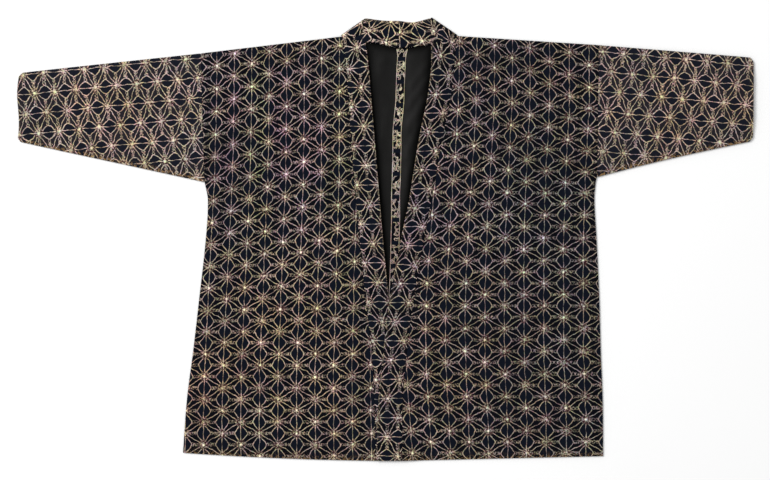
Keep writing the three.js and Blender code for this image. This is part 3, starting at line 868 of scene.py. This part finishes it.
def sleeve_place(half, along, across):
    """A place on the flattened sleeve: along it from the armhole, across it from its underside."""
    arm_gap = half.outward * SEAM
    top_x = blend(half.shoulder[0] + arm_gap, half.cuff_top[0], along)
    top_y = blend(half.shoulder[1], half.cuff_top[1], along)
    low_x = blend(half.underarm[0] + arm_gap, half.cuff_bottom[0], along)
    low_y = blend(half.underarm[1], half.cuff_bottom[1], along) + bow(along, half.underside_bow)
    wave = half.cuff_wave * np.sin(2 * math.pi * across) * along
    to_corner = np.minimum(across, 1 - across) / CUFF_CORNER_SHARE
    corner = CUFF_CORNER * (1 - smooth(to_corner)) * along**CUFF_CORNER_STRETCH
    x = blend(low_x, top_x, across) - half.outward * (wave + corner)
    return x, blend(low_y, top_y, across)


def sleeve_width(half, along):
    """Width of the flattened sleeve, from its underside to its top."""
    low = np.array(sleeve_place(half, along, 0.0 * along))
    top = np.array(sleeve_place(half, along, 0.0 * along + 1))
    return np.hypot(*(top - low))


def sleeve_ring(half, along, across, angle, level, depth):
    """Points of the flattened tube at a depth under its outer face."""
    # The level is 1 over the sleeve, -1 beneath it and not a number on the rolled edges, which have an angle
    width = sleeve_width(half, along)
    roll = SLEEVE_ROLL - depth
    near = SLEEVE_ROLL / width
    centre = near + (1 - 2 * near) * across
    rolled = centre + roll * np.sin(angle) / width * np.where(across < 0.5, -1, 1)
    x, y = sleeve_place(half, along, np.where(np.isnan(level), rolled, centre))
    height = SLEEVE_ROLL + roll * np.where(np.isnan(level), np.cos(angle), level)
    lift = np.where(height > SLEEVE_ROLL, relief(half, x, y), 0)
    return points(x, y, height + lift)


def sleeve_lattice(half, along, across, angle, level):
    """Rows of stars run along the sleeve, so the lattice is turned by a quarter. It goes round the folds."""
    near = SLEEVE_ROLL / sleeve_width(half, along)
    centre = near + (1 - 2 * near) * across
    rounded = 2 * near * angle / math.pi
    unrolled = np.where(across < 0.5, centre - rounded, centre + rounded)
    share = np.where(np.isnan(level), unrolled, np.where(level < 0, 2 - centre, centre))
    x, y = sleeve_place(half, along, share)
    star_x, star_y, tilt, pitch = SLEEVE_STAR[half.name]
    slope = math.radians(tilt)
    row = (x - star_x) * math.cos(slope) + (y - star_y) * math.sin(slope)
    down = (x - star_x) * math.sin(slope) - (y - star_y) * math.cos(slope)
    return points(down / SLEEVE_ROWS, row / pitch)


def sleeve(half):
    """Sleeve, a flattened tube with black lining inside it above the facing of its cuff."""
    length = math.dist(half.shoulder, half.cuff_top)
    along = graded(length, SLEEVE_CELL)[:, None]
    width = half.shoulder[1] - half.underarm[1]
    over = np.linspace(0, 1, round(width / SLEEVE_CELL))[1:-1]
    beneath = np.linspace(1, 0, round(width / SLEEVE_UNDER_CELL))[1:-1]
    turn = np.linspace(0, math.pi, ROLL_STEPS + 1)
    flat = np.full(len(turn), np.nan)
    across = np.concatenate([0 * turn, over, 0 * turn + 1, beneath])[None, :]
    angle = np.concatenate([math.pi - turn, 0 * over, turn, 0 * beneath])[None, :]
    level = np.concatenate([flat, 0 * over + 1, flat, 0 * beneath - 1])[None, :]
    thin = (1 - fullness(np.minimum(along, 1 - along) * length)) * SHELL / 2
    outer = sleeve_ring(half, along, across, angle, level, thin)
    inner = sleeve_ring(half, along, across, angle, level, SHELL - thin)
    lattice = sleeve_lattice(half, along, across, angle, level)
    closing = sleeve_lattice(half, along, np.zeros((1, 1)), 0, -1)
    lattice = np.concatenate([lattice, closing], 1)
    shell = Shell()
    from_cuff = (1 - along) * length
    outside = shell.grid(outer, worn(np.minimum(from_cuff + CUFF_SPARED, across * width - FOLD_RUBBED)))
    inside = shell.grid(inner, UNWORN)
    outside = np.concatenate([outside, outside[:, :1]], 1)
    inside = np.concatenate([inside, inside[:, :1]], 1)
    lined = np.repeat(np.where(from_cuff[:-1, 0] < CUFF_FACING, 0, 1), outside.shape[1] - 1)
    turned = half is RIGHT
    shell.face(outside, lattice, 0, turned=turned)
    shell.face(inside, lattice, lined, turned=not turned)
    ends = ((outside[0], inside[0], lattice[0]), (inside[-1], outside[-1], lattice[-1]))
    for first, second, places in ends:
        line = (second, first) if turned else (first, second)
        border(shell, *line, places, 0)
    return shell.piece("sleeve_" + half.name, [SLEEVE_COTTON, LINING_COTTON], "sleeve_cotton")


def maths(operation, swapped=False):
    """A method of Value that adds a Math node."""

    def method(value, *others):
        operands = (*others, value) if swapped else (value, *others)
        return value.finish.math(operation, *operands)

    return method


class Value:
    """A number that varies over the cloth. Arithmetic on it adds Math nodes."""

    __add__ = __radd__ = maths("ADD")
    __sub__ = maths("SUBTRACT")
    __rsub__ = maths("SUBTRACT", swapped=True)
    __mul__ = __rmul__ = maths("MULTIPLY")
    __pow__ = maths("POWER")
    __abs__ = maths("ABSOLUTE")
    __round__ = maths("ROUND")

    def __init__(self, finish, socket):
        self.finish = finish
        self.socket = socket

    def larger(self, other, clamped=False):
        return self.finish.math("MAXIMUM", self, other, clamped=clamped)

    def ink(self, width):
        """A drawn line of some width, where this is the distance to its middle."""
        shift = width * (0.5 / LINE_BLUR) + 0.5
        return self.finish.math("MULTIPLY_ADD", self, -1 / LINE_BLUR, shift, clamped=True)

    def ramp(self, start, end):
        """Goes from 0 where this is start to 1 where it is end."""
        span = end - start
        return self.finish.math("MULTIPLY_ADD", self, 1 / span, -start / span, clamped=True)

    def fade(self, part):
        """Goes from 0 to 1 between the two values that FADES has for a part."""
        return self.ramp(*FADES[part])

    def between(self, low, high):
        """Goes from low where this is 0 to high where it is 1."""
        return self * (high - low) + low


class Finish:
    """One material and the nodes that make it up."""

    def __init__(self, name):
        self.material = bpy.data.materials.new(name)
        self.material.use_nodes = True
        self.tree = self.material.node_tree
        self.tree.nodes.clear()

    def node(self, kind, settings=None, sockets=None):
        """Adds a node: its settings first, then the values or links of its sockets."""
        made = self.tree.nodes.new("ShaderNode" + kind)
        for key, value in (settings or {}).items():
            setattr(made, key, value)
        for key, value in (sockets or {}).items():
            if isinstance(value, Value):
                value = value.socket
            if isinstance(value, bpy.types.NodeSocket):
                self.tree.links.new(value, made.inputs[key])
            else:
                made.inputs[key].default_value = value
        return made

    def math(self, operation, *values, clamped=False):
        settings = {"operation": operation, "use_clamp": clamped}
        made = self.node("Math", settings, dict(enumerate(values)))
        return Value(self, made.outputs[0])

    def vector(self, operation, *values):
        return self.node("VectorMath", {"operation": operation}, dict(enumerate(values))).outputs[0]

    def noise(self, place, spots, colour=False):
        """Soft spots of a kind from SPOTS, as a number or as a colour."""
        scale, detail = SPOTS[spots]
        sockets = {"Vector": place, "Scale": scale, "Detail": detail}
        made = self.node("TexNoise", {"noise_dimensions": "2D"}, sockets)
        return made.outputs["Color"] if colour else Value(self, made.outputs["Fac"])

    def mix(self, share, first, second):
        """A mix of two colours, which go into the sockets 6 and 7 of the node."""
        return self.node("Mix", {"data_type": "RGBA"}, {0: share, 6: first, 7: second}).outputs[2]

    def lattice(self):
        """Place on the lattice, counted in columns and stars."""
        return self.node("UVMap", {"uv_map": "lattice"}).outputs["UV"]

    def parts(self, place):
        """The two numbers of a place."""
        made = self.node("SeparateXYZ", None, {0: place})
        return [Value(self, made.outputs[side]) for side in range(2)]

    def cloth(self, colour, height, roughness, specular, sheen, depth):
        """Matt cloth of a colour, with its threads standing up by a small height."""
        bump = self.node("Bump", None, {"Strength": BUMP, "Distance": depth, "Height": height})
        sockets = {
            "Base Color": colour,
            "Roughness": roughness,
            "Specular IOR Level": specular,
            "Sheen Weight": sheen,
            "Sheen Roughness": SHEEN_ROUGHNESS,
            "Normal": bump.outputs["Normal"],
        }
        surface = self.node("BsdfPrincipled", None, sockets)
        self.node("OutputMaterial", None, {"Surface": surface.outputs["BSDF"]})
        return self.material


# Hemp-leaf lattice in units of the distance between stars along a column
COLUMN = math.sqrt(3) / 2
CORNER = 1 / math.sqrt(3)
BEAD_START = 0.11
BEAD_LENGTH = 0.155
BEAD_WIDTH = 0.12
BEAD_BLUR = 0.04
EYE_BEND = 1.32
HOLE_RING = 0.13
HOLE_WIDTH = 0.09
SPECK_RING = 0.16
SPECK_WIDTH = 0.16
LINE_BLUR = 0.018

# Strip: the middle of its dark bar, the levels and widths of its scrolls, and its edge line, which
# is drawn a little inside the edge
BAR_MIDDLE = 0.5
SCROLLS = ((0.5, 0.5), (0.62, 0.3))
SCROLL_BEND = 0.35
EDGE_LINE = 0.026
EDGE_LINE_INSET = 0.03

# Soft spots in the drawing, the dye, the wear and the lining's painted shading: how many fall in a length,
# and how broken they are
SPOTS = {
    "hand": (2.6, 3.0),
    "strokes": (5.3, 1.0),
    "grain": (19.0, 1.0),
    "beads": (10.5, 0.0),
    "lit": (1.7, 1.0),
    "pressed": (1.3, 1.0),
    "turn": (1.15, 1.0),
    "flecks": (9.0, 1.0),
    "blotch": (0.8, 3.0),
    "rubbed": (8.0, 2.0),
    "scrolls": (3.7, 1.0),
    "faint": (3.1, 2.0),
    "painted_lining_shading": (1.4, 3.0),
    "slubs": (1.0, 2.0),
    "floor": (3.0, 2.0),
}

# Where each part of the drawing is not there at all, and where it is whole
FADES = {
    "ray": (0.5, 0.12),
    "outline": (0.045, 0.09),
    "lit": (0.3, 0.62),
    "upright": (0.02, 0.32),
    "heavy_upright": (0.16, 0.36),
    "bead": (0.52, 0.56),
    "chain": (CORNER, CORNER - BEAD_BLUR),
    "dashed": (0.24, 0.15),
    "dash": (0.5, 0.58),
    "line": (0.04, 0.1),
    "hole": (0.5, 0.42),
    "eye": (0.0, -0.15),
    "speck": (0.47, 0.4),
    "turn": (0.33, 0.67),
    "rubbed": (0.5, 0.6),
    "scroll": (0.08, 0.11),
    "bar": (0.1, 0.08),
    "selvedge": (0.0, 0.03),
    "scroll_knot": (0.45, 0.6),
}

# Least and most of what varies over the cloth: the strength of lines and knots, the swing of the
# loops, and the blotches in the lining's painted shading and its roughness
RAY_INK = (0.8, 1.35)
GRAIN_INK = (-0.05, 1.95)
STROKE_INK = (0.35, 1.65)
PRESSED_INK = (0.45, 1.55)
KNOT_INK = (0.3, 1.0)
FAINT_INK = (0.25, 1.35)
LOOP_SWING = (0.02, 0.11)
LINING_SHADING_BLOTCHES = (0.75, 1.25)
LINING_ROUGHNESS = (0.42, 0.57)

# Strengths and widths that stay the same all over, as shares, and how much the uprights widen
OUTLINE_INK = 0.9
UPRIGHT_LEAST = 0.1
UPRIGHT_MOST = 1.6
UPRIGHT_WIDTH = 0.8
UPRIGHT_WIDENED = 0.014
LOOP_WIDTH = 0.8
DASH_INK = 0.66
HOLE_DEPTH = 0.9
KNOT_CORE = 0.35
EYE_TINT = 0.75
WEAR_TINT = 0.7
SPECK_TINT = 0.7
SCROLL_KNOTS = 0.4

# Two tints between which the yarn turns, round a middle grey, and how far its flecks stray from them
YELLOW_YARN = (0.57, 0.54, 0.40, 1)
LILAC_YARN = (0.565, 0.475, 0.565, 1)
TINT_MIDDLE = 0.5
FLECKED = 0.35

# Weave and surface of the cloths
THREADS = 34
SLUBS = (40, 5, 1)
RAISED_YARN = 0.6
BUMP = 0.5
SHEEN_ROUGHNESS = 0.6
COTTON = {"roughness": 0.85, "specular": 0.03, "sheen": 0.006, "depth": 0.0004}
SMOOTH_COTTON = {"specular": 0.03, "sheen": 0.0, "depth": 0.0002}
# The lining's black, which shows as painted shade beside the bands, and the lighter black painted where
# light falls on it
BLACK = (0.0006, 0.0006, 0.0005, 1)
PAINTED_LIT_BLACK = (0.0150, 0.0146, 0.0143, 1)


def threads(finish, place):
    """Height of a plain weave."""
    warp, weft = (finish.math("SINE", part * (THREADS * 2 * math.pi)) for part in finish.parts(place))
    return warp * weft * 0.5 + finish.noise(finish.vector("MULTIPLY", place, SLUBS), "slubs")


def hemp_leaf(finish, place, look):
    """Where the pale yarn, the knots of the stars, the eyes and the red-brown specks are."""
    hand = finish.noise(place, "hand", colour=True)
    drawn = finish.vector("MULTIPLY_ADD", hand, (look["sway"], look["sway"], 0), place)
    p, q = finish.parts(drawn)
    pairs = p * 0.5
    even = abs(pairs - round(pairs)) * 2
    near = abs(q - round(q))
    beyond = finish.math("GREATER_THAN", near * 2, even)
    across = (even + beyond * (1 - even * 2)) * COLUMN
    along = near + beyond * (0.5 - near * 2)
    from_upright = COLUMN - across
    strokes = finish.noise(place, "strokes")
    grain = finish.noise(place, "grain")
    beads = finish.noise(place, "beads")

    first = finish.math("SQRT", across * across + along * along)
    rest = 0.5 - along
    second = finish.math("SQRT", from_upright * from_upright + rest * rest)
    star = finish.math("MINIMUM", first, second)

    width = look["width"]
    rays = abs(across * 0.5 - along * COLUMN).ink(width) * star.fade("ray").between(*RAY_INK)
    eye_x, eye_y = look["eye"]
    steep = math.hypot(1 / eye_x, 1 / eye_y)
    bent = (from_upright * (1 / eye_x)) ** EYE_BEND + (along * (1 / eye_y)) ** EYE_BEND
    eye = bent ** (1 / EYE_BEND) - 1
    outline = (abs(eye) * (1 / steep)).ink(width) * from_upright.fade("outline")
    lit = finish.noise(place, "lit").fade("lit")
    kept = lit * look["through"] + UPRIGHT_LEAST
    tapered = along.fade("upright").between(kept, UPRIGHT_MOST)
    heavier = along.fade("heavy_upright") * UPRIGHT_WIDENED + width * UPRIGHT_WIDTH
    lines = rays.larger(outline * OUTLINE_INK).larger(from_upright.ink(heavier) * tapered)

    wave = finish.math("SINE", (across - BEAD_START) * (math.pi / BEAD_LENGTH))
    loops = abs(along - abs(wave) * strokes.between(*LOOP_SWING)).ink(width * LOOP_WIDTH)
    mottled = along.ink(BEAD_WIDTH) * beads.fade("bead")
    chain = (loops * look["bead_share"]).larger(mottled * look["mottle"])
    lines = lines.larger(chain * across.fade("chain"))

    dashes = star.fade("dashed") * grain.fade("dash") * DASH_INK
    lines = (lines * star.fade("line")).larger(dashes)
    holes = abs(star - HOLE_RING).ink(HOLE_WIDTH) * beads.fade("hole")
    pressed = finish.noise(place, "pressed").between(*PRESSED_INK)
    drawing = grain.between(*GRAIN_INK) * strokes.between(*STROKE_INK) * pressed
    lines = lines * (1 - holes * HOLE_DEPTH) * drawing
    knots = star.ramp(look["knot"], look["knot"] * KNOT_CORE) * lit.between(*KNOT_INK)
    specks = abs(star - SPECK_RING).ink(SPECK_WIDTH) * beads.fade("speck")
    return lines.larger(knots, clamped=True), knots, eye.fade("eye"), specks


def coloured(finish, place, shown, knots, inside_eye, look):
    """Pale space-dyed yarn over blue-black cotton, with the wear along the edges and the painted light and
    shade that the tint attribute carries.
    """
    # The attribute's colour is the yarn's tint with some painted light and shade; its alpha is the wear
    tint_and_painted_light = finish.node("Attribute", {"attribute_name": "tint_and_painted_light"})
    tint = finish.mix(finish.noise(place, "turn").fade("turn"), YELLOW_YARN, LILAC_YARN)
    tint = finish.mix(FLECKED, tint, finish.noise(place, "flecks", colour=True))
    whole = 1 / (TINT_KEPT * TINT_MIDDLE)
    tint = finish.vector("MULTIPLY", finish.vector("MULTIPLY", tint, tint_and_painted_light.outputs["Color"]), (whole,) * 3)
    yarn = finish.vector("MULTIPLY", finish.mix(knots, look["yarn"], look["knot_yarn"]), tint)
    ground = finish.mix(finish.noise(place, "blotch"), look["ground"], look["ground_light"])
    ground = finish.mix(inside_eye * EYE_TINT, ground, look["eye_ground"])
    colour = finish.mix(shown, ground, yarn)
    rubbed = Value(finish, tint_and_painted_light.outputs["Alpha"]) * finish.noise(place, "rubbed").fade("rubbed")
    return finish.mix(rubbed * WEAR_TINT, colour, look["wear"])


def hemp_cotton(name, look):
    """Blue-black cotton with the hemp-leaf lattice."""
    finish = Finish(name)
    place = finish.lattice()
    shown, knots, inside_eye, specks = hemp_leaf(finish, place, look)
    colour = coloured(finish, place, shown, knots, inside_eye, look)
    colour = finish.mix(specks * SPECK_TINT, colour, look["speck"])
    return finish.cloth(colour, threads(finish, place) + shown * RAISED_YARN, **COTTON)


def strip_cotton(name, look):
    """Narrow cut of the same cotton: pale edges, scrolls of yarn and a dark bar in each repeat."""
    finish = Finish(name)
    place = finish.lattice()
    p, q = finish.parts(place)
    scrolls = finish.noise(place, "scrolls")
    wide, narrow = (
        (abs(scrolls - level) * SCROLL_BEND).ink(look["width"] * share) for level, share in SCROLLS
    )
    from_bar = abs(q - BAR_MIDDLE - round(q - BAR_MIDDLE))
    from_edge = look["selvedge"] - abs(p)
    shown = wide.larger(narrow) * from_bar.fade("scroll") * from_edge.fade("selvedge")
    faint = finish.noise(place, "faint").between(*FAINT_INK)
    shown = shown.larger(abs(from_edge).ink(EDGE_LINE) * faint, clamped=True)
    knots = shown * scrolls.fade("scroll_knot") * SCROLL_KNOTS
    colour = coloured(finish, place, shown, knots, from_bar.fade("bar"), look)
    return finish.cloth(colour, threads(finish, place) + shown * RAISED_YARN, **COTTON)


def lining_cotton(name):
    """Plain black lining, slightly smoother than the outer cotton, with painted shade near the bands and
    painted highlights and sheen where it shows.
    """
    finish = Finish(name)
    place = finish.lattice()
    blotch = finish.noise(place, "painted_lining_shading")
    # The attribute's alpha is the share of painted light on the lining: none beside the bands, where the
    # painted shade is
    shown = Value(finish, finish.node("Attribute", {"attribute_name": "tint_and_painted_light"}).outputs["Alpha"])
    colour = finish.mix(shown * blotch.between(*LINING_SHADING_BLOTCHES), BLACK, PAINTED_LIT_BLACK)
    roughness = blotch.between(*LINING_ROUGHNESS)
    return finish.cloth(colour, threads(finish, place), roughness, **SMOOTH_COTTON)


BODY_LOOK = {
    "yarn": (0.405, 0.354, 0.286, 1),
    "knot_yarn": (0.86, 0.875, 0.64, 1),
    "ground": (0.0006, 0.0009, 0.0018, 1),
    "ground_light": (0.0026, 0.0027, 0.0056, 1),
    "eye_ground": (0.0033, 0.0050, 0.0102, 1),
    "speck": (0.040, 0.011, 0.013, 1),
    "wear": (0.26, 0.155, 0.065, 1),
    "width": 0.022,
    "sway": 0.12,
    "eye": (0.31, 0.35),
    "through": 0.55,
    "bead_share": 0.34,
    "mottle": 0.46,
    "knot": 0.072,
}
SLEEVE_LOOK = {
    **BODY_LOOK,
    "yarn": (0.49, 0.425, 0.345, 1),
    "ground": (0.0095, 0.0078, 0.0108, 1),
    "ground_light": (0.016, 0.0145, 0.0185, 1),
    "width": 0.025,
    "through": 0.6,
    "bead_share": 0.75,
    "mottle": 0.5,
    "knot_yarn": (0.58, 0.60, 0.42, 1),
    "knot": 0.095,
    "sway": 0.15,
}
BAND_LOOK = {
    **BODY_LOOK,
    "yarn": (0.495, 0.434, 0.354, 1),
    "width": 0.023,
    "through": 0.5,
    "wear": (0.34, 0.26, 0.17, 1),
}
STRIP_LOOK = {
    **BODY_LOOK,
    "yarn": (0.50, 0.43, 0.32, 1),
    "width": 0.038,
    "selvedge": STRIP_WIDTH / 2 / STRIP_COLUMN - EDGE_LINE_INSET,
}

BODY_COTTON = hemp_cotton("body_cotton_hemp_leaf", BODY_LOOK)
SLEEVE_COTTON = hemp_cotton("sleeve_cotton_hemp_leaf", SLEEVE_LOOK)
BAND_COTTON = hemp_cotton("band_cotton_hemp_leaf", BAND_LOOK)
STRIP_COTTON = strip_cotton("strip_cotton_hemp_leaf", STRIP_LOOK)
LINING_COTTON = lining_cotton("black_lining_cotton")

back_pieces = [back_panel(RIGHT), back_panel(LEFT), lining(), strip()]
front_pieces = [front_panel(RIGHT), front_panel(LEFT), neckband(RIGHT), neckband(LEFT)]
sleeve_pieces = [sleeve(RIGHT), sleeve(LEFT)]


# Floor, a little below the cloth so that their faces do not meet
FLOOR_SIZE = 14.0
FLOOR_HEIGHT = -0.0002
FLOOR_GREY = (0.722, 0.722, 0.722, 1)
FLOOR_PALE = (0.732, 0.732, 0.732, 1)
FLOOR_FINISH = {"roughness": 0.9, "specular": 0.3, "sheen": 0.0, "depth": 0.0001}


def floor():
    """A pale floor under the jacket."""
    mesh = bpy.data.meshes.new("floor")
    reach = FLOOR_SIZE / 2
    corners = [(x * reach, y * reach, FLOOR_HEIGHT) for x, y in ((-1, -1), (1, -1), (1, 1), (-1, 1))]
    mesh.from_pydata(corners, [], [(0, 1, 2, 3)])
    finish = Finish("pale_floor")
    patch = finish.noise(finish.node("TexCoord").outputs["Object"], "floor")
    mesh.materials.append(finish.cloth(finish.mix(patch, FLOOR_GREY, FLOOR_PALE), patch, **FLOOR_FINISH))
    made = bpy.data.objects.new("floor", mesh)
    bpy.context.scene.collection.objects.link(made)


floor()


# Light of one large window and the pale room round it
WINDOW_PLACE = Vector((-3.2, 2.0, 4.4))
WINDOW_SIZE = 2.6
WINDOW_POWER = 300
ROOM_LIGHT = 0.82
window = bpy.data.lights.new("window_side", "AREA")
window.size = WINDOW_SIZE
window.energy = WINDOW_POWER
lamp = bpy.data.objects.new("window_side", window)
lamp.location = WINDOW_PLACE
lamp.rotation_euler = (-WINDOW_PLACE).to_track_quat("-Z", "Y").to_euler()
bpy.context.scene.collection.objects.link(lamp)

room = bpy.data.worlds.new("studio")
room.use_nodes = True
room.node_tree.nodes["Background"].inputs["Color"].default_value = (1, 1, 1, 1)
room.node_tree.nodes["Background"].inputs["Strength"].default_value = ROOM_LIGHT
bpy.context.scene.world = room
bpy.context.scene.view_settings.view_transform = "Standard"

# The camera looks straight down, with the jacket 1.81 mm to a pixel of the photograph
CAMERA_LENS = 85
CAMERA_SENSOR = 36
PIXEL = 1.81
PHOTO_WIDTH = 770
VIEW_X = -0.9
VIEW_Y = -1.8
VIEW_Z = 3
camera_height = PIXEL * PHOTO_WIDTH * CAMERA_LENS / CAMERA_SENSOR + VIEW_Z
camera_data = bpy.data.cameras.new("camera")
camera_data.lens = CAMERA_LENS
camera_data.sensor_width = CAMERA_SENSOR
camera = bpy.data.objects.new("camera", camera_data)
camera.location = (VIEW_X * MM, VIEW_Y * MM, camera_height * MM)
bpy.context.scene.collection.objects.link(camera)
bpy.context.scene.camera = camera
